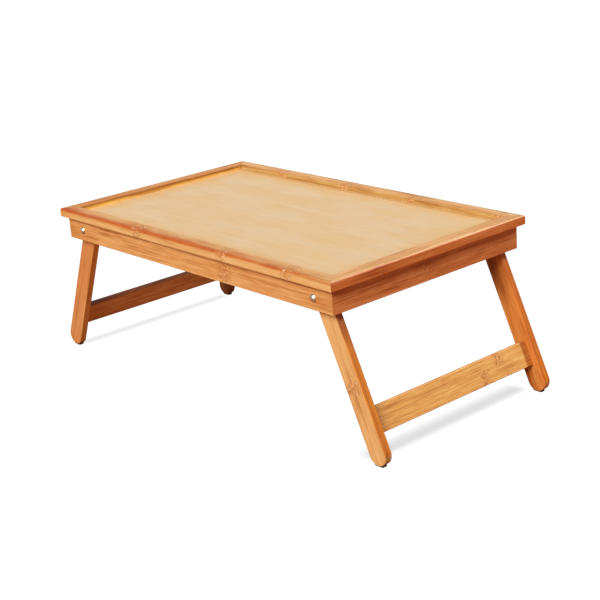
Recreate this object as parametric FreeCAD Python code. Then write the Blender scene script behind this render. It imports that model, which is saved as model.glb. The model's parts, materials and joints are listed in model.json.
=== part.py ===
import FreeCAD, Part
import math
import os

# Folding tray table in bamboo, legs unfolded. Millimetres, +Z up, origin on the floor under the
# middle of the tray. +X runs along the long sides and -Y is the front long side.

# Tray frame: four mitred rails, rebated from below to hold the panel
TRAY_LENGTH = 500.0
TRAY_WIDTH = 296.0
TRAY_TOP = 195.6
RAIL_WIDTH = 18.0
RAIL_HEIGHT = 10.7
RAIL_OUTER_ROUND = 2.5
RAIL_EDGE_ROUND = 0.8
LIP_OVER_PANEL = 4.8
PANEL_THICKNESS = 4.7
PANEL_PLAY = 0.1

# Aprons under the rails: the long ones carry the pivots, the end ones are the legs' stops
APRON_INSET = 6.9
APRON_THICKNESS = 9.9
APRON_HEIGHT = 27.5
APRON_EDGE_ROUND = 0.3

# Dowels that join the aprons to the rails
DOWEL_INSET = 10.0
DOWEL_DIAMETER = 4.0
DOWEL_IN_APRON = 9.5
DOWEL_IN_RAIL = 6.5
DOWELS_PER_SIDE = {"front": 3, "back": 3, "left": 2, "right": 2}

# Legs: round-ended bars that turn about the pivot and lean outwards when open
PIVOT_FROM_END = 36.1
PIVOT_HEIGHT = 170.2
LEG_SPLAY_DEG = 24.0
LEG_WIDTH = 24.4
LEG_THICKNESS = 9.5
LEG_EDGE_ROUND = 1.2

# Rubber foot pads, let into the lowest point of each foot
PAD_LENGTH = 12.0
PAD_WIDTH = 7.0
PAD_THICKNESS = 2.6
PAD_PROUD = 0.8
PAD_CORNER_ROUND = 1.5

# Stretcher board between the two legs of a pair, and its blind dowels
STRETCHER_TOP_FROM_PIVOT = 124.3
STRETCHER_HEIGHT = 29.0
STRETCHER_THICKNESS = 8.0
STRETCHER_EDGE_ROUND = 1.0
STRETCHER_DOWEL_DIAMETER = 5.0
STRETCHER_DOWEL_IN_LEG = 6.5
STRETCHER_DOWEL_IN_BOARD = 12.0
STRETCHER_DOWEL_SPACING = 15.0

# Pivot hardware: a dome-head bolt with a square neck, washers each side of the leg, a lock nut
BOLT_DIAMETER = 5.0
BOLT_RUNNING_PLAY = 0.05
BOLT_HEAD_DIAMETER = 9.5
BOLT_HEAD_HEIGHT = 2.6
BOLT_NECK_WIDTH = 5.0
BOLT_NECK_DEPTH = 3.0
BOLT_PAST_NUT = 1.0
BOLT_END_CHAMFER = 0.5
WASHER_DIAMETER = 12.0
SPACER_THICKNESS = 0.4
NUT_WASHER_THICKNESS = 1.0
LEG_SIDE_PLAY = 0.05
NUT_ACROSS_FLATS = 8.0
NUT_HEX_HEIGHT = 4.0
NUT_COLLAR_HEIGHT = 1.2
NUT_COLLAR_DIAMETER = 7.0

# Derived levels and places
RAIL_BOTTOM = TRAY_TOP - RAIL_HEIGHT
APRON_BOTTOM = RAIL_BOTTOM - APRON_HEIGHT
PIVOT_X = TRAY_LENGTH / 2 - PIVOT_FROM_END
APRON_FACE_Y = TRAY_WIDTH / 2 - APRON_INSET
LEG_OUTER_Y = APRON_FACE_Y - APRON_THICKNESS - SPACER_THICKNESS - LEG_SIDE_PLAY
LEG_INNER_Y = LEG_OUTER_Y - LEG_THICKNESS
LEG_RADIUS = LEG_WIDTH / 2
LEG_REACH = (PIVOT_HEIGHT - LEG_RADIUS - PAD_PROUD) / math.cos(math.radians(LEG_SPLAY_DEG))
FOOT_X = PIVOT_X + LEG_REACH * math.sin(math.radians(LEG_SPLAY_DEG))
STRETCHER_MIDDLE = STRETCHER_TOP_FROM_PIVOT + STRETCHER_HEIGHT / 2

# Depths along a pivot bolt, from the apron's outer face inwards
SPACER_AT = APRON_THICKNESS
NUT_WASHER_AT = SPACER_AT + SPACER_THICKNESS + LEG_THICKNESS + 2 * LEG_SIDE_PLAY
NUT_AT = NUT_WASHER_AT + NUT_WASHER_THICKNESS
BOLT_LENGTH = NUT_AT + NUT_HEX_HEIGHT + NUT_COLLAR_HEIGHT + BOLT_PAST_NUT

SAME_PLACE = 1e-6
ORIGIN = FreeCAD.Vector(0, 0, 0)
X_AXIS = FreeCAD.Vector(1, 0, 0)
Y_AXIS = FreeCAD.Vector(0, 1, 0)
Z_AXIS = FreeCAD.Vector(0, 0, 1)
QUARTER_TURN = 90.0
SIDES = ("front", "right", "back", "left")
END_SIGN = {"left": -1, "right": 1}
FACE_SIGN = {"front": -1, "back": 1}


def side_size(side):
    """Outer length of the tray along a side, and the side's distance from the middle."""
    if side in FACE_SIGN:
        return TRAY_LENGTH, TRAY_WIDTH / 2
    return TRAY_WIDTH, TRAY_LENGTH / 2


def turned_to(shape, side):
    """Turn a shape made for the front side round to another side."""
    shape.rotate(ORIGIN, Z_AXIS, QUARTER_TURN * SIDES.index(side))
    return shape


def edges_along(shape, axis):
    """Straight edges of a shape that run along an axis."""
    found = []
    for edge in shape.Edges:
        ends = [vertex.Point for vertex in edge.Vertexes]
        if len(ends) == 2 and (ends[1] - ends[0]).cross(axis).Length < SAME_PLACE:
            found.append(edge)
    return found


def edges_through(shape, axis, corners):
    """Edges along an axis that pass through given (y, z) corners of a section."""
    found = []
    for edge in edges_along(shape, axis):
        middle = edge.CenterOfMass
        if any(math.hypot(middle.y - y, middle.z - z) < SAME_PLACE for y, z in corners):
            found.append(edge)
    return found


def bar(section, length):
    """Straight bar along X from a closed (y, z) section."""
    points = [FreeCAD.Vector(-length / 2, y, z) for y, z in section]
    outline = Part.makePolygon(points + points[:1])
    return Part.Face(outline).extrude(X_AXIS * length)


def mitre(piece, length, face_y, depth):
    """Cut both ends of a front bar at 45 degrees, inwards from its outer face."""
    half = length / 2
    deep_y = face_y + depth
    corners = [(-half, face_y), (half, face_y), (half - depth, deep_y), (depth - half, deep_y)]
    points = [FreeCAD.Vector(x, y, 0) for x, y in corners]
    plan = Part.Face(Part.makePolygon(points + points[:1]))
    return piece.common(plan.extrude(Z_AXIS * TRAY_TOP))


def front_dowels(side):
    """Dowels between apron and rail, as if the side were the front one."""
    length, distance = side_size(side)
    count = DOWELS_PER_SIDE[side]
    pitch = length / count
    dowels = []
    for index in range(count):
        x = pitch * (index - (count - 1) / 2)
        foot = FreeCAD.Vector(x, DOWEL_INSET - distance, RAIL_BOTTOM - DOWEL_IN_APRON)
        dowels.append(Part.makeCylinder(DOWEL_DIAMETER / 2, DOWEL_IN_APRON + DOWEL_IN_RAIL, foot))
    return dowels


def rail(side):
    """One rail of the tray frame: rounded on top, rebated underneath for the panel."""
    length, distance = side_size(side)
    outer = -distance
    inner = outer + RAIL_WIDTH
    rebate = inner - LIP_OVER_PANEL
    panel_top = RAIL_BOTTOM + PANEL_THICKNESS
    section = [(outer, RAIL_BOTTOM), (rebate, RAIL_BOTTOM), (rebate, panel_top), (inner, panel_top)]
    section += [(inner, TRAY_TOP), (outer, TRAY_TOP)]
    piece = bar(section, length)
    piece = piece.makeFillet(RAIL_OUTER_ROUND, edges_through(piece, X_AXIS, [(outer, TRAY_TOP)]))
    softened = [(outer, RAIL_BOTTOM), (inner, TRAY_TOP)]
    piece = piece.makeFillet(RAIL_EDGE_ROUND, edges_through(piece, X_AXIS, softened))
    piece = mitre(piece, length, outer, RAIL_WIDTH)
    return turned_to(piece.cut(front_dowels(side)), side)


def apron(side):
    """One apron board under a rail, mitred at its ends."""
    length, distance = side_size(side)
    length -= 2 * APRON_INSET
    outer = APRON_INSET - distance
    inner = outer + APRON_THICKNESS
    section = [(outer, APRON_BOTTOM), (inner, APRON_BOTTOM), (inner, RAIL_BOTTOM), (outer, RAIL_BOTTOM)]
    piece = bar(section, length)
    softened = [(outer, APRON_BOTTOM), (inner, APRON_BOTTOM)]
    piece = piece.makeFillet(APRON_EDGE_ROUND, edges_through(piece, X_AXIS, softened))
    piece = mitre(piece, length, outer, APRON_THICKNESS)
    piece = turned_to(piece.cut(front_dowels(side)), side)
    if side in FACE_SIGN:
        piece = piece.cut([placed_on_pivot(bolt_body(), side, end, 0) for end in END_SIGN])
    return piece


def tray_panel():
    """Thin board that lies on the aprons under the rails' lips."""
    margin = RAIL_WIDTH - LIP_OVER_PANEL + PANEL_PLAY
    length = TRAY_LENGTH - 2 * margin
    width = TRAY_WIDTH - 2 * margin
    return Part.makeBox(length, width, PANEL_THICKNESS, FreeCAD.Vector(-length / 2, -width / 2, RAIL_BOTTOM))


def placed_on_pivot(shape, face, end, depth):
    """Stand hardware made along +Z on a pivot, its base at a depth inside the apron's outer face."""
    y_sign = FACE_SIGN[face]
    shape.rotate(ORIGIN, X_AXIS, QUARTER_TURN * y_sign)
    shape.translate(FreeCAD.Vector(END_SIGN[end] * PIVOT_X, y_sign * (APRON_FACE_Y - depth), PIVOT_HEIGHT))
    return shape


def bolt_body():
    """Round shank and square neck of a pivot bolt."""
    shank = Part.makeCylinder(BOLT_DIAMETER / 2, BOLT_LENGTH)
    tip = [edge for edge in shank.Edges if edge.CenterOfMass.z > BOLT_LENGTH - BOLT_END_CHAMFER]
    tip = [edge for edge in tip if len(edge.Vertexes) == 1]
    shank = shank.makeChamfer(BOLT_END_CHAMFER, tip)
    half = BOLT_NECK_WIDTH / 2
    neck = Part.makeBox(BOLT_NECK_WIDTH, BOLT_NECK_WIDTH, BOLT_NECK_DEPTH, FreeCAD.Vector(-half, -half, 0))
    return shank.fuse(neck).removeSplitter()


def pivot_bolt():
    """Whole bolt: a shallow dome head below z = 0 and its body above."""
    head_radius = BOLT_HEAD_DIAMETER / 2
    ball_radius = (head_radius**2 + BOLT_HEAD_HEIGHT**2) / (2 * BOLT_HEAD_HEIGHT)
    ball = Part.makeSphere(ball_radius, FreeCAD.Vector(0, 0, ball_radius - BOLT_HEAD_HEIGHT))
    slab = Part.makeCylinder(head_radius, BOLT_HEAD_HEIGHT, FreeCAD.Vector(0, 0, -BOLT_HEAD_HEIGHT))
    return ball.common(slab).fuse(bolt_body()).removeSplitter()


def washer(thickness, bore):
    """Flat ring washer."""
    ring = Part.makeCylinder(WASHER_DIAMETER / 2, thickness)
    return ring.cut(Part.makeCylinder(bore / 2, thickness))


def lock_nut():
    """Hexagon nut with the round collar that holds its locking insert."""
    corner_radius = NUT_ACROSS_FLATS / math.sqrt(3)
    corners = []
    for index in range(6):
        angle = math.radians(60 * index)
        corners.append(FreeCAD.Vector(corner_radius * math.cos(angle), corner_radius * math.sin(angle), 0))
    hexagon = Part.Face(Part.makePolygon(corners + corners[:1])).extrude(Z_AXIS * NUT_HEX_HEIGHT)
    collar = Part.makeCylinder(NUT_COLLAR_DIAMETER / 2, NUT_COLLAR_HEIGHT, Z_AXIS * NUT_HEX_HEIGHT)
    bore = Part.makeCylinder(BOLT_DIAMETER / 2, NUT_HEX_HEIGHT + NUT_COLLAR_HEIGHT)
    return hexagon.fuse(collar).cut(bore)


def splayed(shape, end):
    """Lean a shape made straight down from the pivot outwards, and carry it to its end of the tray."""
    shape.rotate(ORIGIN, Y_AXIS, -END_SIGN[end] * LEG_SPLAY_DEG)
    shape.translate(FreeCAD.Vector(END_SIGN[end] * PIVOT_X, 0, PIVOT_HEIGHT))
    return shape


def stretcher_dowels(end):
    """Blind dowels through the joints between one stretcher and its two legs."""
    length = STRETCHER_DOWEL_IN_LEG + STRETCHER_DOWEL_IN_BOARD
    dowels = []
    for y_sign in FACE_SIGN.values():
        start_y = LEG_INNER_Y - STRETCHER_DOWEL_IN_BOARD
        for step in (-1, 1):
            z = -STRETCHER_MIDDLE + step * STRETCHER_DOWEL_SPACING / 2
            start = FreeCAD.Vector(0, y_sign * start_y, z)
            dowels.append(Part.makeCylinder(STRETCHER_DOWEL_DIAMETER / 2, length, start, Y_AXIS * y_sign))
    return [splayed(dowel, end) for dowel in dowels]


def foot_pad(face, end):
    """Rubber pad under one foot."""
    middle_y = FACE_SIGN[face] * (LEG_OUTER_Y - LEG_THICKNESS / 2)
    corner = FreeCAD.Vector(END_SIGN[end] * FOOT_X - PAD_LENGTH / 2, middle_y - PAD_WIDTH / 2, 0)
    pad = Part.makeBox(PAD_LENGTH, PAD_WIDTH, PAD_THICKNESS, corner)
    return pad.makeFillet(PAD_CORNER_ROUND, edges_along(pad, Z_AXIS))


def leg(face, end):
    """One leg: a bar with half-round ends, a pivot bore, dowel holes and a pocket for its pad."""
    low_y = min(FACE_SIGN[face] * LEG_OUTER_Y, FACE_SIGN[face] * LEG_INNER_Y)
    start = FreeCAD.Vector(0, low_y, 0)
    across = X_AXIS * LEG_RADIUS
    down = Z_AXIS * -LEG_REACH
    outline = [
        Part.Arc(start - across, start + Z_AXIS * LEG_RADIUS, start + across).toShape(),
        Part.LineSegment(start + across, start + across + down).toShape(),
        Part.Arc(start + across + down, start + down - Z_AXIS * LEG_RADIUS, start - across + down).toShape(),
        Part.LineSegment(start - across + down, start - across).toShape(),
    ]
    piece = Part.Face(Part.Wire(outline)).extrude(Y_AXIS * LEG_THICKNESS)
    rims = [edge for edge in piece.Edges if edge.BoundBox.YLength < SAME_PLACE]
    piece = piece.makeFillet(LEG_EDGE_ROUND, rims)
    piece = piece.cut(Part.makeCylinder(BOLT_DIAMETER / 2 + BOLT_RUNNING_PLAY, LEG_THICKNESS, start, Y_AXIS))
    return splayed(piece, end).cut(stretcher_dowels(end) + [foot_pad(face, end)])


def stretcher(end):
    """Board that ties the two legs of a pair together."""
    low_edge = -STRETCHER_TOP_FROM_PIVOT - STRETCHER_HEIGHT
    corner = FreeCAD.Vector(-STRETCHER_THICKNESS / 2, -LEG_INNER_Y, low_edge)
    board = Part.makeBox(STRETCHER_THICKNESS, 2 * LEG_INNER_Y, STRETCHER_HEIGHT, corner)
    board = board.makeFillet(STRETCHER_EDGE_ROUND, edges_along(board, Y_AXIS))
    return splayed(board, end).cut(stretcher_dowels(end))


def all_parts():
    """Every piece of the table, by node name."""
    parts = {"tray_panel": tray_panel()}
    for side in SIDES:
        parts[side + "_rail"] = rail(side)
        parts[side + "_apron"] = apron(side)
        parts[side + "_rail_dowels"] = turned_to(Part.makeCompound(front_dowels(side)), side)
    for end in END_SIGN:
        parts[end + "_stretcher"] = stretcher(end)
        parts[end + "_stretcher_dowels"] = Part.makeCompound(stretcher_dowels(end))
        for face in FACE_SIGN:
            place = face + "_" + end
            spacer = washer(SPACER_THICKNESS, BOLT_DIAMETER)
            nut_washer = washer(NUT_WASHER_THICKNESS, BOLT_DIAMETER)
            parts[place + "_leg"] = leg(face, end)
            parts[place + "_foot_pad"] = foot_pad(face, end)
            parts[place + "_pivot_bolt"] = placed_on_pivot(pivot_bolt(), face, end, 0)
            parts[place + "_spacer_washer"] = placed_on_pivot(spacer, face, end, SPACER_AT)
            parts[place + "_nut_washer"] = placed_on_pivot(nut_washer, face, end, NUT_WASHER_AT)
            parts[place + "_lock_nut"] = placed_on_pivot(lock_nut(), face, end, NUT_AT)
    return parts


os.makedirs("parts", exist_ok=True)
for node, shape in all_parts().items():
    shape.exportStep("parts/" + node + ".step")
    box = shape.BoundBox
    print(node, "solids", len(shape.Solids), "valid", shape.isValid(), "mm3", round(shape.Volume, 1))
    print("   x", round(box.XMin, 2), round(box.XMax, 2), "y", round(box.YMin, 2), round(box.YMax, 2),
          "z", round(box.ZMin, 2), round(box.ZMax, 2))
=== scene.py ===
import bpy
import json
import math
from dataclasses import dataclass
from mathutils import Matrix, Vector


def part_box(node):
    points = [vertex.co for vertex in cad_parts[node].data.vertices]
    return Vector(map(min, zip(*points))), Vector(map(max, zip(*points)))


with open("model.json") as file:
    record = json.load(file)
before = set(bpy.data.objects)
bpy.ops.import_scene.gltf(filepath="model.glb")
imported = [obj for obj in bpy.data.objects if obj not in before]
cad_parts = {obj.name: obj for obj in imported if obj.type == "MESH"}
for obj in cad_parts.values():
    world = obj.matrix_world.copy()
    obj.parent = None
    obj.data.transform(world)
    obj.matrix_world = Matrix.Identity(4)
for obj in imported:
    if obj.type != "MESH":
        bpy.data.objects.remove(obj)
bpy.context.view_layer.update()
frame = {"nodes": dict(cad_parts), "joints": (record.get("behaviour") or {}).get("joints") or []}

# Lengths are in metres unless a name says MM, angles are in degrees and colours are linear
NODES = frame["nodes"]
JOINTS = frame["joints"]
X, Y, Z = Vector((1, 0, 0)), Vector((0, 1, 0)), Vector((0, 0, 1))
OUTWARD = {"front": -Y, "back": Y, "left": -X, "right": X}
PIVOT = Vector(JOINTS[0]["pos_m"])  # of the right legs; the left legs' mirrors it
LEG_HALF_WIDTH = 0.0122  # and the radius of its round foot
WHITE = (1.0, 1.0, 1.0)

# Bamboo: the darkest streaks, the body and the palest streaks of the boards and of the paler panel
CARAMEL = {"dark": (0.46, 0.135, 0.026), "body": (0.78, 0.355, 0.105), "pale": (0.92, 0.54, 0.22)}
STRAW = {"dark": (0.655, 0.41, 0.18), "body": (0.79, 0.555, 0.315), "pale": (0.85, 0.65, 0.42)}
CLOUD = (1.0, 0.93, 0.78)

# Seams: glue lines between strips and layers, and mitres
GLUE = (0.34, 0.085, 0.016)
SEAM_STRENGTH = 0.55
LAYER_THICKNESS = 0.0056
LAYERS_BELOW = 40.5
HAIRLINE = 0.00028
LINE_WANDER = 0.0016
LINE_CORE, LINE_FADE = 0.35, 1.8  # in half-widths of a line
MITRE_LINE = (0.0001, 0.0006)
MITRE_STRENGTH = 0.8

# How much each size of streak counts, and how far the tones spread about the middle one
BROAD_SHARE, STREAK_SHARE, FINE_SHARE, MOTTLE_SHARE = 0.24, 0.38, 0.14, 0.24
FIBRE_SPREAD = 5.2
STRIP_SPREAD = 0.26
MIDDLE_TONE = 0.56
DARK_TO_BODY = (-0.20, 0.60)
BODY_TO_PALE = (0.50, 1.20)
DASH_STRENGTH = 0.40
STRIP_SHIFT = (0.41, 0.073, 0.0)

# Knuckles: their colours, how strongly each is laid on, and how far their outlines wander
KNUCKLE = {"curl": (0.44, 0.110, 0.014), "ground": (0.66, 0.23, 0.055), "fleck": (0.98, 0.66, 0.37)}
GROUND_STRENGTH, SPECK_STRENGTH, CURL_STRENGTH, FLECK_STRENGTH = 0.34, 0.22, 0.74, 0.60
PATCH_WANDER = 0.018
PATCH_CORE = 0.25
CREASE_WANDER = 0.014
CREASE_LINE = (0.0003, 0.0012)
CREASE_STRENGTH = 0.40
CURL_RINGS = 5.0
CURL_LINE = (0.04, 0.17)
SWIRL = 0.016
SOFT_EDGE = 0.0005
WHOLE_WIDTH = 1.0

# Lacquer: its roughness, what fibres and knuckles add to it, and how each thing shows in its relief
ROUGHNESS, FIBRE_ROUGHNESS, KNUCKLE_ROUGHNESS = 0.38, 0.14, 0.08
STREAK_RELIEF, FINE_RELIEF, SEAM_RELIEF, SPECK_RELIEF = 0.6, 0.5, -0.5, -0.5

# Zones of another colour, most of them painted light and shade: how far their edges wander, as a share of
# the edge's own width
ZONE_SEED = 43.0
ZONE_WANDER = 1.3
LEG_SIDE = (0.0108, 0.0121)

# The panel's border with painted warm light bounced from the rails: half its length, half its width and how
# far in it reaches
PANEL_RIM = (0.232, 0.130, 0.034)
RAIL_BOUNCE_TINT = (0.99, 0.88, 0.70)

# Plating: the colour of the painted shade towards the edge of a head or washer, its strength and where it
# is full, and the tone of dull blotches
EDGE_SHADE = (0.38, 0.25, 0.12)
EDGE_SHADE_STRENGTH = 0.85
EDGE_SHADE_FULL = 1.4
DULL = 0.72

# Studio
FLOOR_SIZE = 60.0
PAPER_GLOW = (0.698, 0.717, 0.733)
FLOOR_BOUNCE = (0.42, 0.18, 0.075)
ROOM_GREY = 0.12
ROOM_SHEEN = 0.40
SHADOW_KINDS = ("_stretcher", "_foot_pad")
CAMERA_PLACE = (1.19622, -0.9844, 0.60812)
CAMERA_AZIMUTH, CAMERA_ELEVATION, CAMERA_ROLL = 49.94, 18.72, -4.32
LENS_MM, SENSOR_MM = 81.11, 36.0
CLIP_END = 100.0

# How far one seed moves the noise, and the sockets of the Mix node when it mixes colours
SEED_STEPS = (7.31, 3.17, 5.71)
MIX_FACTOR, MIX_FIRST, MIX_SECOND, MIX_RESULT = 0, 6, 7, 2


class Web:
    """Adds shader nodes to a tree and wires them up."""

    def __init__(self, tree):
        self.tree = tree

    def add(self, kind, **settings):
        node = self.tree.nodes.new("ShaderNode" + kind)
        for name, value in settings.items():
            setattr(node, name, value)
        return node

    def feed(self, socket, value):
        if isinstance(value, bpy.types.NodeSocket):
            self.tree.links.new(value, socket)
        else:
            socket.default_value = value

    def math(self, operation, first, second=0.0, third=0.0):
        node = self.add("Math", operation=operation)
        for socket, value in zip(node.inputs, (first, second, third)):
            self.feed(socket, value)
        return node.outputs[0]

    def vector(self, operation, first, second=(0.0, 0.0, 0.0)):
        node = self.add("VectorMath", operation=operation)
        self.feed(node.inputs[0], first)
        self.feed(node.inputs[1], second)
        return node.outputs["Value" if operation == "LENGTH" else "Vector"]

    def join(self, x, y, z):
        node = self.add("CombineXYZ")
        for socket, value in zip(node.inputs, (x, y, z)):
            self.feed(socket, value)
        return node.outputs[0]

    def split(self, vector):
        node = self.add("SeparateXYZ")
        self.feed(node.inputs[0], vector)
        return node.outputs

    def noise(self, vector, stretch, seed, detail=2.0, roughness=0.5):
        """Noise from 0 to 1 of a place stretched along each axis (features per metre)."""
        place = self.vector("MULTIPLY", vector, stretch)
        place = self.vector("ADD", place, tuple(seed * step for step in SEED_STEPS))
        node = self.add("TexNoise")
        self.feed(node.inputs["Vector"], place)
        node.inputs["Scale"].default_value = 1.0
        node.inputs["Detail"].default_value = detail
        node.inputs["Roughness"].default_value = roughness
        return node.outputs["Fac"]

    def white_noise(self, vector):
        node = self.add("TexWhiteNoise", noise_dimensions="3D")
        self.feed(node.inputs["Vector"], vector)
        return node.outputs["Value"]

    def centred(self, noise, span):
        """Noise spread over a span about zero."""
        return self.math("MULTIPLY_ADD", noise, span, -span / 2)

    def ramp(self, value, low, high, start=0.0, end=1.0):
        """A smooth step of a value between two limits."""
        node = self.add("MapRange", interpolation_type="SMOOTHSTEP")
        for socket, fed in zip(node.inputs, (value, low, high, start, end)):
            self.feed(socket, fed)
        return node.outputs[0]

    def near(self, value, centre, full, none):
        """One up to 'full' away from a centre, falling to zero at 'none' away."""
        away = self.math("ABSOLUTE", self.math("SUBTRACT", value, centre))
        return self.ramp(away, full, none, 1.0, 0.0)

    def mix(self, factor, first, second, blend="MIX"):
        node = self.add("Mix", data_type="RGBA", blend_type=blend)
        self.feed(node.inputs[MIX_FACTOR], factor)
        self.feed(node.inputs[MIX_FIRST], self.colour(first))
        self.feed(node.inputs[MIX_SECOND], self.colour(second))
        return node.outputs[MIX_RESULT]

    def colour(self, value):
        return value if isinstance(value, bpy.types.NodeSocket) else (*value, 1.0)


def empty_material(name):
    """A material with an emptied node tree, and the helper that fills it."""
    material = bpy.data.materials.new(name)
    material.use_nodes = True
    material.node_tree.nodes.clear()
    return material, Web(material.node_tree)


def new_material(name):
    """A material with its helper and a Principled shader wired to the output."""
    material, web = empty_material(name)
    shader = web.add("BsdfPrincipled")
    web.feed(web.add("OutputMaterial").inputs["Surface"], shader.outputs[0])
    return material, web, shader


def bump(web, height, strength, distance):
    node = web.add("Bump")
    node.inputs["Strength"].default_value = strength
    node.inputs["Distance"].default_value = distance
    web.feed(node.inputs["Height"], height)
    return node.outputs["Normal"]


def object_place(web):
    return web.add("TexCoord").outputs["Object"]


@dataclass
class ToneZone:
    """A zone multiplied by a colour, from none to full along each of the board's own directions given. Most
    zones are painted light and shade.
    """
    colour: tuple
    depth: tuple = ()
    width: tuple = ()
    length: tuple = ()
    amount: float = 1.0


@dataclass
class Board:
    """What sets one bamboo board apart. Places are from its middle, or along a leg from its pivot."""
    tint: tuple = WHITE
    contrast: float = 1.0
    clouds: float = 0.0
    glue: tuple = ()        # glue lines between its strips, across its width
    layers: tuple = ()      # lines between its layers: depth and half-width of each
    knuckles: tuple = ()    # place along it, lowest and highest width of each
    reach: float = 0.010    # half the length of a knuckle's patch
    tone_zones: tuple = ()


def across_board(*places):
    """Knuckles that run right across a board, at these places along it."""
    return tuple((at, -WHOLE_WIDTH, WHOLE_WIDTH) for at in places)


def leg_sides_lit_and_shaded(colour):
    """The long narrow sides of a leg, with painted light and shade: a tone of their own for how light falls
    on them.
    """
    inner, outer = LEG_SIDE
    return tuple(ToneZone(colour, width=(side * inner, side * outer)) for side in (1, -1))


BOARDS = {
    "tray_panel": Board(contrast=0.42, clouds=0.9),
    "front_rail": Board(
        tint=(1.00, 1.20, 1.46), contrast=0.62, knuckles=across_board(-0.0855, 0.0736, 0.182), reach=0.014,
        tone_zones=(
            # Painted shade: darker, deeper orange towards the rounded outer edge, which catches no sheen.
            ToneZone((0.82, 0.39, 0.14), depth=(-0.009, 0.009), width=(0.0009, 0.0042), length=(0.30, 0.13)),
            # Painted dark reflection along the rounded outer top edge.
            ToneZone((0.79, 0.62, 0.40), depth=(0.0010, 0.0080), width=(0.0020, 0.0046)),
            # Darker towards the left end.
            ToneZone((0.93, 0.80, 0.66), length=(-0.205, -0.240)),
        ),
    ),
    "back_rail": Board(
        tint=(1.0, 1.15, 1.38), knuckles=across_board(0.146, 0.027, -0.089, -0.227),
        tone_zones=(
            # Painted light: deeper orange towards the inner edge, where the top shows less sheen.
            ToneZone((1.05, 0.60, 0.19), depth=(0.004, -0.009), amount=0.4),
            # Darker towards the outer edge.
            ToneZone((0.80, 0.86, 0.92), depth=(0.0015, 0.0075)),
            # Painted light and shade: a tone of its own for the inner face, set by how light falls on it.
            ToneZone((0.69, 0.84, 0.78), depth=(-0.0080, -0.0088)),
        ),
    ),
    "left_rail": Board(
        tint=(0.83, 0.69, 0.52),
        tone_zones=(
            # Painted light: deeper orange towards the inner edge, where the top shows less sheen.
            ToneZone((1.22, 0.88, 0.20), depth=(0.0, -0.009), amount=0.5),
            # Darker towards the outer edge.
            ToneZone((0.82, 0.80, 0.76), depth=(0.0, 0.0075)),
            # Painted light: a paler, yellower tone for the inner face.
            ToneZone((1.27, 2.30, 3.3), depth=(-0.0080, -0.0088)),
            # Painted shade along the top of the inner face.
            ToneZone((0.53, 0.32, 0.12), depth=(-0.0080, -0.0088), width=(0.0012, 0.0034)),
        ),
    ),
    "right_rail": Board(
        tint=(0.97, 1.06, 1.25),
        # Painted shade on the outer face, turned away from the main light.
        tone_zones=(ToneZone((0.85, 0.46, 0.27), depth=(0.0076, 0.0088)),),
    ),
    "front_apron": Board(
        tint=(0.93, 0.97, 0.99), glue=(0.0018,), reach=0.018,
        knuckles=(*across_board(0.0687), (-0.178, 0.006, 0.010)),
        tone_zones=(
            # Painted shadow cast by the rail's overhang along the top of the apron.
            ToneZone((0.66, 0.48, 0.22), width=(0.0118, 0.0130)),
            # Darker towards the left end.
            ToneZone((0.90, 0.79, 0.68), length=(-0.180, -0.215)),
            # Darker from the middle towards the right end.
            ToneZone((0.92, 0.84, 0.79), length=(-0.02, 0.12)),
        ),
    ),
    "back_apron": Board(tint=(0.95, 0.95, 0.95), glue=(-0.0012,), knuckles=across_board(0.11, -0.13)),
    "left_apron": Board(tint=(0.92, 0.80, 0.75), glue=(0.0022,), knuckles=across_board(0.03)),
    "right_apron": Board(
        # The darker, redder tint is partly the board's own tone and partly painted shade on its outer face,
        # turned away from the main light.
        tint=(0.90, 0.62, 0.56), glue=(-0.0008,), knuckles=((-0.0013, -0.004, 0.007),), reach=0.012,
    ),
    "front_left_leg": Board(
        # Painted light on the narrow sides.
        tint=(0.81, 0.655, 0.62), contrast=0.7, glue=(0.0015,), tone_zones=leg_sides_lit_and_shaded((1.26, 1.43, 1.10)),
    ),
    "back_left_leg": Board(
        tint=(0.66, 0.50, 0.44), glue=(-0.0020,), knuckles=across_board(0.07),
        # Painted shade on the narrow sides, and painted shade over the foot, which lies in the tray's
        # shadow.
        tone_zones=(*leg_sides_lit_and_shaded((1.0, 0.8, 0.5)), ToneZone((0.50, 0.40, 0.36), length=(0.148, 0.170))),
    ),
    "front_right_leg": Board(
        tint=(0.97, 1.17, 1.40), contrast=0.75, layers=((0.0017, 0.0008),),
        knuckles=((0.101, -0.0108, 0.0108),),
        tone_zones=(
            # Painted shade on the narrow sides.
            *leg_sides_lit_and_shaded((0.91, 0.51, 0.05)),
            # Painted shade at the top of the narrow side, under the apron.
            ToneZone((0.55, 0.42, 0.32), width=LEG_SIDE, length=(0.062, 0.034)),
        ),
    ),
    "back_right_leg": Board(
        tint=(0.81, 0.59, 0.36), glue=(0.0017,), layers=((-0.0015, 0.0006),),
        tone_zones=(
            # Painted shade on the narrow sides.
            *leg_sides_lit_and_shaded((1.00, 0.74, 0.02)),
            # Painted shadow of the tray over the upper part of the leg, deepest on its inner side.
            ToneZone((0.48, 0.35, 0.28), width=(0.0100, -0.0060), length=(0.084, 0.050)),
            # Painted shadow of the stretcher over the inner side of the foot.
            ToneZone((0.66, 0.52, 0.42), width=(0.0030, -0.0090), length=(0.150, 0.156)),
        ),
    ),
    "left_stretcher": Board(
        # Painted shade along the top edge, under the tray.
        glue=(-0.0010,), tone_zones=(ToneZone((0.50, 0.36, 0.30), width=(0.0136, 0.0143)),),
    ),
    "right_stretcher": Board(
        tint=(1.00, 1.06, 0.84), glue=(0.0015,),
        knuckles=((0.071, 0.0015, WHOLE_WIDTH), (0.045, -WHOLE_WIDTH, 0.0015)),
        # Painted shadow of the back right leg across the stretcher's end.
        tone_zones=(ToneZone((0.72, 0.48, 0.28), length=(0.1112, 0.1124)),),
    ),
}


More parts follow.
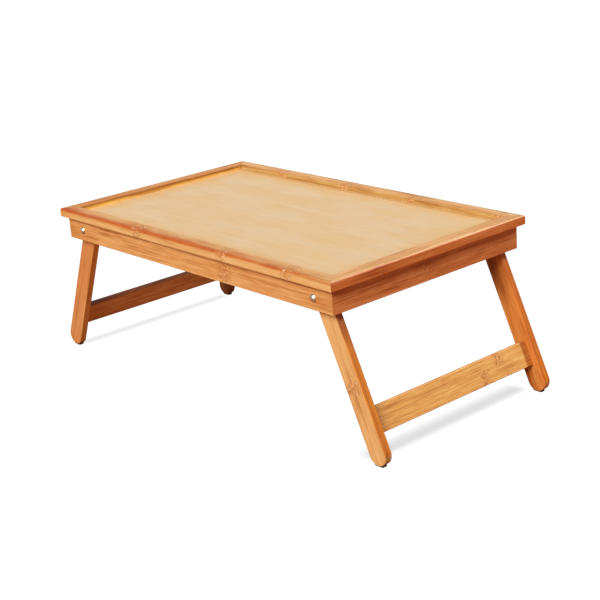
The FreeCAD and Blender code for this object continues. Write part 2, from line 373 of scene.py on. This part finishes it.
def tinted(colours, tint):
    """Each colour times the tint, with no channel above one."""
    return {
        kind: tuple(min(1.0, channel * share) for channel, share in zip(colour, tint))
        for kind, colour in colours.items()
    }


def grain_place(web, along, across, origin):
    """Place inside a piece: x along its grain, y across its face, z through it, in metres."""
    rows = Matrix((along, across, along.cross(across)))
    mapping = web.add("Mapping", vector_type="POINT")
    mapping.inputs["Rotation"].default_value = rows.to_euler()
    mapping.inputs["Location"].default_value = -(rows @ origin)
    web.feed(mapping.inputs["Vector"], object_place(web))
    return mapping.outputs[0]


def knuckle_masks(web, place, board, seed):
    """The dark curls and creases of a board's knuckles, and the patches they lie in."""
    length, width, _ = web.split(place)
    wobble = web.noise(place, (110.0, 240.0, 240.0), seed + 4.0, 2.0, 0.7)
    zigzag = web.noise(place, (60.0, 420.0, 420.0), seed + 6.0, 2.0, 0.6)
    patch_place = web.math("ADD", length, web.centred(wobble, PATCH_WANDER))
    crease_place = web.math("ADD", length, web.centred(zigzag, CREASE_WANDER))
    patch, crease = 0.0, 0.0
    for centre, low, high in board.knuckles:
        above = web.ramp(width, low - SOFT_EDGE, low + SOFT_EDGE)
        below = web.ramp(width, high - SOFT_EDGE, high + SOFT_EDGE, 1.0, 0.0)
        inside = web.math("MULTIPLY", above, below)
        blot = web.near(patch_place, centre, board.reach * PATCH_CORE, board.reach)
        patch = web.math("MAXIMUM", patch, web.math("MULTIPLY", inside, blot))
        line = web.near(crease_place, centre, *CREASE_LINE)
        crease = web.math("MAXIMUM", crease, web.math("MULTIPLY", inside, line))
    field = web.noise(place, (85.0, 150.0, 150.0), seed + 3.0, 1.0)
    rings = web.math("PINGPONG", web.math("MULTIPLY", field, CURL_RINGS), 0.5)
    curls = web.math("MULTIPLY", web.ramp(rings, *CURL_LINE, 1.0, 0.0), web.ramp(patch, 0.10, 0.90))
    return web.math("MAXIMUM", curls, web.math("MULTIPLY", crease, CREASE_STRENGTH)), patch


def strips(web, place, board, seed):
    """A tone for each strip the board is pressed from, and the strip's own cell of the noise."""
    _, width, depth = web.split(place)
    strip = float(seed)
    for at in board.glue:
        strip = web.math("ADD", strip, web.math("GREATER_THAN", width, at))
    height = web.math("ADD", depth, LAYER_THICKNESS * LAYERS_BELOW)
    layer = web.math("FLOOR", web.math("DIVIDE", height, LAYER_THICKNESS))
    cell = web.join(strip, layer, seed)
    return web.white_noise(cell), cell


def swirled(web, place, cell, patch, seed):
    """The fibres' place: shifted from strip to strip, and swirling inside the knuckles."""
    swirl = web.noise(place, (160.0, 160.0, 160.0), seed + 31.0, 2.0, 0.6)
    swirl = web.math("MULTIPLY", web.math("SUBTRACT", swirl, 0.5), web.math("MULTIPLY", patch, SWIRL))
    strand = web.vector("ADD", place, web.vector("MULTIPLY", cell, STRIP_SHIFT))
    return web.vector("ADD", strand, web.join(0.0, swirl, swirl))


def fibre_body(web, place, strand, strip_tone, fibres, tones, contrast, seed):
    """The body colour, from wide streaks down to single bundles and short dark dashes."""
    streak, fine = fibres
    broad = web.noise(strand, (7.0, 210.0, 210.0), seed)
    dashes = web.ramp(web.noise(strand, (40.0, 1000.0, 1000.0), seed + 13.0, 1.0), 0.60, 0.68)
    mottle = web.noise(place, (20.0, 75.0, 75.0), seed + 17.0, 3.0, 0.6)
    tone = web.math("MULTIPLY", broad, BROAD_SHARE)
    for noise, share in ((streak, STREAK_SHARE), (fine, FINE_SHARE), (mottle, MOTTLE_SHARE)):
        tone = web.math("MULTIPLY_ADD", noise, share, tone)
    tone = web.math("MULTIPLY_ADD", web.math("SUBTRACT", tone, 0.5), FIBRE_SPREAD * contrast, MIDDLE_TONE)
    tone = web.math("MULTIPLY_ADD", web.math("SUBTRACT", strip_tone, 0.5), STRIP_SPREAD * contrast, tone)
    body = web.mix(web.ramp(tone, *DARK_TO_BODY), tones["dark"], tones["body"])
    body = web.mix(web.ramp(tone, *BODY_TO_PALE), body, tones["pale"])
    return web.mix(web.math("MULTIPLY", dashes, DASH_STRENGTH * contrast), body, tones["dark"])


def clouded(web, body, place, amount, seed):
    """Wide, soft, slightly yellower clouds."""
    drift = web.noise(place, (13.0, 34.0, 34.0), seed + 37.0, 3.0, 0.6)
    return web.mix(web.ramp(drift, 0.38, 0.62, 0.0, amount), body, CLOUD, "MULTIPLY")


def toned_by_zone(web, body, place, zone):
    """The body colour times the zone's colour, where every direction given has come from none to full."""
    length, width, depth = web.split(place)
    drift = web.noise(place, (17.0, 90.0, 90.0), ZONE_SEED, 2.0, 0.6)
    mask = zone.amount
    for value, span in ((depth, zone.depth), (width, zone.width), (length, zone.length)):
        if span:
            none, full = span
            value = web.math("ADD", value, web.centred(drift, abs(full - none) * ZONE_WANDER))
            if full > none:
                fade = web.ramp(value, none, full)
            else:
                fade = web.ramp(value, full, none, 1.0, 0.0)
            mask = web.math("MULTIPLY", mask, fade)
    return web.mix(mask, body, zone.colour, "MULTIPLY")


def painted_rail_bounce(web, body, place, rim):
    """Painted warm light bounced from the rails, fading inwards from the border of the panel."""
    length, width, _ = web.split(place)
    half_length, half_width, reach = rim
    to_end = web.math("SUBTRACT", half_length, web.math("ABSOLUTE", length))
    to_side = web.math("SUBTRACT", half_width, web.math("ABSOLUTE", width))
    glow = web.ramp(web.math("MINIMUM", to_end, to_side), 0.0, reach, 1.0, 0.0)
    return web.mix(glow, body, RAIL_BOUNCE_TINT, "MULTIPLY")


def knuckled(web, body, place, curls, patch, tones, seed):
    """The body colour with its knuckles laid on, and the mask of their specks."""
    specks = web.ramp(web.noise(place, (430.0, 560.0, 560.0), seed + 21.0, 2.0, 0.6), 0.49, 0.60)
    flecks = web.ramp(web.noise(place, (260.0, 360.0, 360.0), seed + 23.0, 2.0, 0.6), 0.57, 0.66)
    specks = web.math("MULTIPLY", patch, specks)
    flecks = web.math("MULTIPLY", patch, flecks)
    for mask, strength, kind in (
        (patch, GROUND_STRENGTH, "ground"),
        (specks, SPECK_STRENGTH, "curl"),
        (curls, CURL_STRENGTH, "curl"),
        (flecks, FLECK_STRENGTH, "fleck"),
    ):
        body = web.mix(web.math("MULTIPLY", mask, strength), body, tones[kind])
    return body, specks


def line_mask(web, value, lines, place, seed):
    """Thin lines at given values, each with its half-width, fading in and out along the board."""
    wander = web.centred(web.noise(place, (9.0, 1.0, 1.0), seed + 27.0), LINE_WANDER)
    strength = web.ramp(web.noise(place, (26.0, 40.0, 40.0), seed + 29.0, 3.0), 0.34, 0.60, 0.30, 1.0)
    wandering = web.math("ADD", value, wander)
    mask = 0.0
    for at, half_width in lines:
        line = web.near(wandering, at, half_width * LINE_CORE, half_width * LINE_FADE)
        mask = web.math("MAXIMUM", mask, line)
    return web.math("MULTIPLY", mask, strength)


def seam_mask(web, place, board, mitre, seed):
    """Glue lines between strips and layers, and mitres, given half the length and the outer face."""
    length, width, depth = web.split(place)
    seams = 0.0
    if board.glue:
        seams = line_mask(web, width, [(at, HAIRLINE) for at in board.glue], place, seed)
    if board.layers:
        layers = line_mask(web, depth, board.layers, place, seed + 2.0)
        seams = web.math("MAXIMUM", seams, layers)
    if mitre:
        half_length, outer_face = mitre
        to_end = web.math("SUBTRACT", half_length, web.math("ABSOLUTE", length))
        to_mitre = web.math("SUBTRACT", to_end, web.math("SUBTRACT", outer_face, depth))
        seam = web.ramp(web.math("ABSOLUTE", to_mitre), *MITRE_LINE, MITRE_STRENGTH, 0.0)
        seams = web.math("MAXIMUM", seams, seam)
    return seams


def lacquer(web, shader, fibres, patch, specks, seams):
    """Satin lacquer: fibres, specks and seams show faintly in its relief and its gloss."""
    streak, fine = fibres
    roughness = web.math("MULTIPLY_ADD", fine, FIBRE_ROUGHNESS, ROUGHNESS)
    roughness = web.math("MULTIPLY_ADD", patch, KNUCKLE_ROUGHNESS, roughness)
    web.feed(shader.inputs["Roughness"], roughness)
    relief = web.math("MULTIPLY", fine, FINE_RELIEF)
    for mask, height in ((streak, STREAK_RELIEF), (seams, SEAM_RELIEF), (specks, SPECK_RELIEF)):
        relief = web.math("MULTIPLY_ADD", mask, height, relief)
    web.feed(shader.inputs["Normal"], bump(web, relief, strength=0.35, distance=0.00012))
    shader.inputs["IOR"].default_value = 1.5
    shader.inputs["Coat Weight"].default_value = 0.10
    shader.inputs["Coat Roughness"].default_value = 0.35


def bamboo(name, board, along, across, origin, seed, colours=CARAMEL, mitre=None, rim=None):
    """Lacquered bamboo: pressed strips with long fibres, knuckles, glue lines and mitre seams, and zones of
    another tone, most of them painted light and shade.
    """
    material, web, shader = new_material(name)
    place = grain_place(web, along, across, origin)
    tones = tinted({**colours, **KNUCKLE}, board.tint)
    curls, patch = knuckle_masks(web, place, board, seed)
    strip_tone, cell = strips(web, place, board, seed)
    strand = swirled(web, place, cell, patch, seed)
    streak = web.noise(strand, (15.0, 560.0, 560.0), seed + 5.0, 3.0, 0.6)
    fine = web.noise(strand, (60.0, 1500.0, 1500.0), seed + 9.0, 2.0, 0.6)
    fibres = (streak, fine)
    body = fibre_body(web, place, strand, strip_tone, fibres, tones, board.contrast, seed)
    if board.clouds:
        body = clouded(web, body, place, board.clouds, seed)
    for zone in board.tone_zones:
        body = toned_by_zone(web, body, place, zone)
    if rim:
        body = painted_rail_bounce(web, body, place, rim)
    body, specks = knuckled(web, body, place, curls, patch, tones, seed)
    seams = seam_mask(web, place, board, mitre, seed)
    body = web.mix(web.math("MULTIPLY", seams, SEAM_STRENGTH), body, GLUE)
    web.feed(shader.inputs["Base Color"], body)
    lacquer(web, shader, fibres, patch, specks, seams)
    return material


def plated_steel(name, colour, roughness, scratch, shade_from):
    """Zinc-plated steel: faint blotches, fine scratches, and painted shade towards the edge of a head or
    washer.
    """
    material, web, shader = new_material(name)
    place = object_place(web)
    blotch = web.noise(place, (420.0, 420.0, 420.0), 2.0, 3.0)
    grit = web.noise(place, (5200.0, 1400.0, 5200.0), 4.0, 2.0, 0.7)
    dull = tuple(channel * DULL for channel in colour)
    body = web.mix(web.ramp(blotch, 0.35, 0.7), dull, colour)
    x, _, z = web.split(place)
    sideways = web.math("SUBTRACT", web.math("ABSOLUTE", x), PIVOT.x)
    from_axis = web.vector("LENGTH", web.join(sideways, 0.0, web.math("SUBTRACT", z, PIVOT.z)))
    edge_shade = web.ramp(from_axis, shade_from, shade_from * EDGE_SHADE_FULL, 0.0, EDGE_SHADE_STRENGTH)
    web.feed(shader.inputs["Base Color"], web.mix(edge_shade, body, EDGE_SHADE))
    web.feed(shader.inputs["Roughness"], web.math("MULTIPLY_ADD", grit, scratch, roughness))
    web.feed(shader.inputs["Normal"], bump(web, grit, strength=0.20, distance=0.00004))
    shader.inputs["Metallic"].default_value = 1.0
    return material


def black_rubber(name):
    """Moulded rubber: near black, faintly dusty, with a fine pebbled skin."""
    material, web, shader = new_material(name)
    place = object_place(web)
    dust = web.ramp(web.noise(place, (260.0, 260.0, 260.0), 6.0, 3.0), 0.45, 0.75)
    pebble = web.noise(place, (2400.0, 2400.0, 2400.0), 8.0, 2.0)
    web.feed(shader.inputs["Base Color"], web.mix(dust, (0.010, 0.009, 0.009), (0.030, 0.027, 0.025)))
    web.feed(shader.inputs["Roughness"], web.math("MULTIPLY_ADD", pebble, 0.2, 0.62))
    web.feed(shader.inputs["Normal"], bump(web, pebble, strength=0.5, distance=0.00010))
    return material


def plain_dowel(name):
    """Unfinished dowel rod, pale and finely mottled."""
    material, web, shader = new_material(name)
    fibre = web.noise(object_place(web), (900.0, 900.0, 900.0), 11.0, 3.0, 0.6)
    web.feed(shader.inputs["Base Color"], web.mix(fibre, (0.52, 0.34, 0.17), (0.74, 0.56, 0.34)))
    web.feed(shader.inputs["Roughness"], web.math("MULTIPLY_ADD", fibre, 0.2, 0.55))
    web.feed(shader.inputs["Normal"], bump(web, fibre, strength=0.3, distance=0.00010))
    return material


def dress(node, material):
    slots = NODES[node].data.materials
    slots.clear()
    slots.append(material)


def middle_of(node):
    low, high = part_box(node)
    return (low + high) / 2


def dress_board(node, along, across, origin, seed, **extras):
    dress(node, bamboo(node + "_bamboo", BOARDS[node], along, across, origin, seed, **extras))


def dress_tray():
    panel = bamboo(
        "panel_bamboo", BOARDS["tray_panel"], X, Y, middle_of("tray_panel"), 1.0, STRAW, rim=PANEL_RIM,
    )
    dress("tray_panel", panel)
    for seed, (side, outward) in enumerate(OUTWARD.items(), 2):
        for kind, shift in (("rail", 0.0), ("apron", 10.0)):
            node = side + "_" + kind
            low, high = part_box(node)
            along = Z.cross(outward)
            corner = (abs((high - low).dot(along)) / 2, abs((high - low).dot(outward)) / 2)
            dress_board(node, along, Z, (low + high) / 2, seed + shift, mitre=corner)


def dress_legs():
    pivots = {joint["child"]: Vector(joint["pos_m"]) for joint in JOINTS}
    for seed, end in enumerate(("left", "right"), 20):
        pivot = pivots[end + "_legs"]
        foot = middle_of("front_" + end + "_foot_pad")
        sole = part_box("front_" + end + "_leg")[0].z
        down = Vector((foot.x - pivot.x, 0, sole + LEG_HALF_WIDTH - pivot.z)).normalized()
        outward = Vector((math.copysign(down.z, down.x), 0, abs(down.x)))
        for shift, face in enumerate(("front", "back")):
            node = face + "_" + end + "_leg"
            origin = Vector((pivot.x, middle_of(node).y, pivot.z))
            dress_board(node, down, outward, origin, seed + 2.0 * shift)
        node = end + "_stretcher"
        dress_board(node, Y, -down, middle_of(node), seed + 6.0)


def dress_hardware():
    """One look for each kind of fitting, told by the end of its node's name."""
    looks = {
        ("_pivot_bolt",): plated_steel("bolt_plating", (0.95, 0.91, 0.78), 0.30, 0.14, shade_from=0.0035),
        ("_washer", "_nut"): plated_steel("nut_plating", (0.60, 0.59, 0.57), 0.30, 0.20, shade_from=0.0050),
        ("_foot_pad",): black_rubber("pad_rubber"),
        ("_dowels",): plain_dowel("dowel_wood"),
    }
    for node in NODES:
        for endings, material in looks.items():
            if node.endswith(endings):
                dress(node, material)


def add_floor(name, colour=WHITE, glow=None):
    """A wide plain floor of one colour, with an even glow if given."""
    bpy.ops.mesh.primitive_plane_add(size=FLOOR_SIZE)
    floor = bpy.context.object
    floor.name = name
    material, web = empty_material(name + "_paper")
    surface = web.add("BsdfDiffuse")
    surface.inputs["Color"].default_value = (*colour, 1.0)
    if glow:
        light = web.add("Emission")
        light.inputs["Color"].default_value = (*glow, 1.0)
        both = web.add("AddShader")
        web.feed(both.inputs[0], surface.outputs[0])
        web.feed(both.inputs[1], light.outputs[0])
        surface = both
    web.feed(web.add("OutputMaterial").inputs["Surface"], surface.outputs[0])
    floor.data.materials.append(material)
    return floor


def add_floors():
    """The white paper that is seen, and an unseen tan floor whose warm bounce reaches the table."""
    paper = add_floor("floor", glow=PAPER_GLOW)
    bounce = add_floor("bounce_floor", colour=FLOOR_BOUNCE)
    paper.visible_diffuse = False
    paper.visible_glossy = False
    paper.visible_shadow = False
    bounce.visible_camera = False
    return paper, bounce


def add_room():
    """A dim grey room, brighter in reflections and white to the camera."""
    world = bpy.data.worlds.new("studio")
    bpy.context.scene.world = world
    world.use_nodes = True
    world.node_tree.nodes.clear()
    web = Web(world.node_tree)
    rays = web.add("LightPath").outputs
    sheen = web.math("MULTIPLY", rays["Is Glossy Ray"], ROOM_SHEEN - ROOM_GREY)
    strength = web.math("ADD", sheen, ROOM_GREY)
    strength = web.math("MAXIMUM", strength, rays["Is Camera Ray"])
    room = web.add("Background")
    room.inputs["Color"].default_value = (*WHITE, 1.0)
    web.feed(room.inputs["Strength"], strength)
    web.feed(web.add("OutputWorld").inputs["Surface"], room.outputs[0])


def add_sun(name, towards, strength, spread):
    """Distant studio light from the direction 'towards', softened by its spread in degrees."""
    data = bpy.data.lights.new(name, "SUN")
    data.energy = strength * math.pi
    data.angle = math.radians(spread)
    light = bpy.data.objects.new(name, data)
    light.rotation_euler = Vector(towards).to_track_quat("Z", "Y").to_euler()
    bpy.context.scene.collection.objects.link(light)
    return light


def collection_of(name, objects):
    group = bpy.data.collections.new(name)
    for item in objects:
        group.objects.link(item)
    return group


def add_light(paper, bounce):
    """Two soft studio lights on the table, and one from above that only draws a shadow on the paper."""
    table = collection_of("lit_table", [*NODES.values(), bounce])
    low = [piece for node, piece in NODES.items() if node.endswith(SHADOW_KINDS)]
    for sun in (
        add_sun("front", towards=(0.22, -0.78, 0.585), strength=1.08, spread=30.0),
        add_sun("back_right", towards=(0.356, 0.68, 0.64), strength=0.50, spread=14.0),
    ):
        sun.light_linking.receiver_collection = table
    overhead = add_sun("overhead", towards=(0.25, 0.04, 0.967), strength=0.35, spread=25.0)
    overhead.light_linking.receiver_collection = collection_of("lit_floor", [paper])
    overhead.light_linking.blocker_collection = collection_of("floor_shadows", low)


def add_camera():
    """Camera turned by its azimuth round the table, its elevation above it, and a slight roll."""
    azimuth, elevation = math.radians(CAMERA_AZIMUTH), math.radians(CAMERA_ELEVATION)
    roll = math.radians(CAMERA_ROLL)
    level = Vector((math.sin(azimuth), -math.cos(azimuth), 0.0))
    back = level * math.cos(elevation) + Z * math.sin(elevation)
    right = Vector((math.cos(azimuth), math.sin(azimuth), 0.0))
    up = back.cross(right)
    turned_right = right * math.cos(roll) + up * math.sin(roll)
    turned_up = up * math.cos(roll) - right * math.sin(roll)
    data = bpy.data.cameras.new("camera")
    data.sensor_width = SENSOR_MM
    data.lens = LENS_MM
    data.clip_end = CLIP_END
    camera = bpy.data.objects.new("camera", data)
    bpy.context.scene.collection.objects.link(camera)
    turn = Matrix((turned_right, turned_up, back)).transposed().to_4x4()
    camera.matrix_world = Matrix.Translation(CAMERA_PLACE) @ turn
    bpy.context.scene.camera = camera


dress_tray()
dress_legs()
dress_hardware()
add_room()
add_light(*add_floors())
add_camera()
bpy.context.scene.view_settings.view_transform = "Standard"
